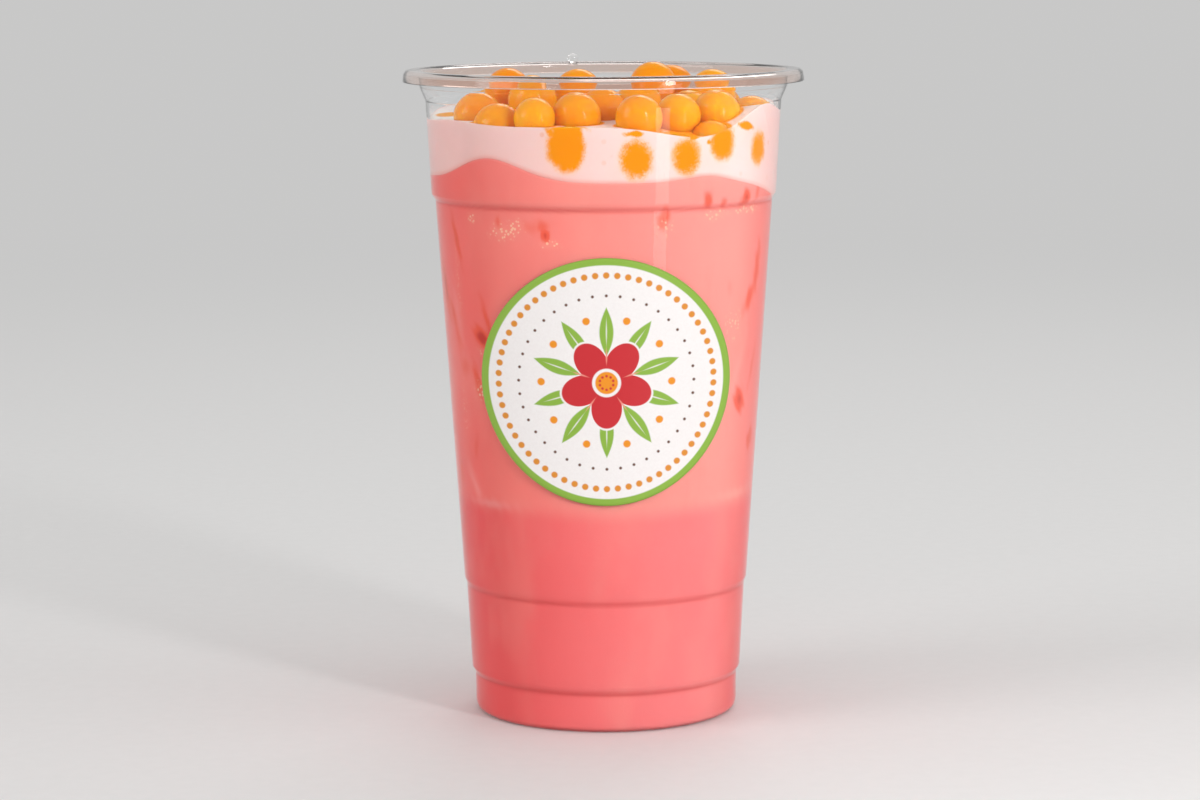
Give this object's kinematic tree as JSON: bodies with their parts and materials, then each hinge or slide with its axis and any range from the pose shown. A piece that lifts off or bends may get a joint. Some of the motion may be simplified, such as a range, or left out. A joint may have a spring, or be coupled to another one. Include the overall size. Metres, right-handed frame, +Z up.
{
  "type": "cup of strawberry milk tea",
  "caption": "Clear tapered plastic cup with a turned rim, filled with pink milk tea, a wavy milk foam layer and a heap of orange popping pearls, with a round label on its front.",
  "frame": {"origin": "middle of the foot's standing plane", "axes": "+Z up along the cup's axis; the label faces -Y"},
  "size_m": [0.095, 0.095, 0.1551],
  "materials": {
    "clear_plastic": "clear glossy plastic",
    "milk_tea": "opaque milky liquid, stands in for milk tea",
    "milk_foam": "soft milk foam",
    "pearl": "wet, glossy popping pearl",
    "label": "smooth printed paper"
  },
  "bodies": {
    "root": {"cup": "clear_plastic", "label": "label", "milk_foam": "milk_foam", "milk_tea": "milk_tea", "pearl_01": "pearl", "pearl_02": "pearl", "pearl_03": "pearl", "pearl_04": "pearl", "pearl_05": "pearl", "pearl_06": "pearl", "pearl_07": "pearl", "pearl_08": "pearl", "pearl_09": "pearl", "pearl_10": "pearl", "pearl_11": "pearl", "pearl_12": "pearl", "pearl_13": "pearl", "pearl_14": "pearl", "pearl_15": "pearl", "pearl_16": "pearl", "pearl_17": "pearl", "pearl_18": "pearl", "pearl_19": "pearl", "pearl_20": "pearl", "pearl_21": "pearl", "pearl_22": "pearl", "pearl_23": "pearl", "pearl_24": "pearl", "pearl_25": "pearl", "pearl_26": "pearl", "pearl_27": "pearl", "pearl_28": "pearl", "pearl_29": "pearl", "pearl_30": "pearl", "pearl_31": "pearl", "pearl_32": "pearl", "pearl_33": "pearl", "pearl_34": "pearl", "pearl_35": "pearl", "pearl_36": "pearl", "pearl_37": "pearl"}
  },
  "joints": []
}
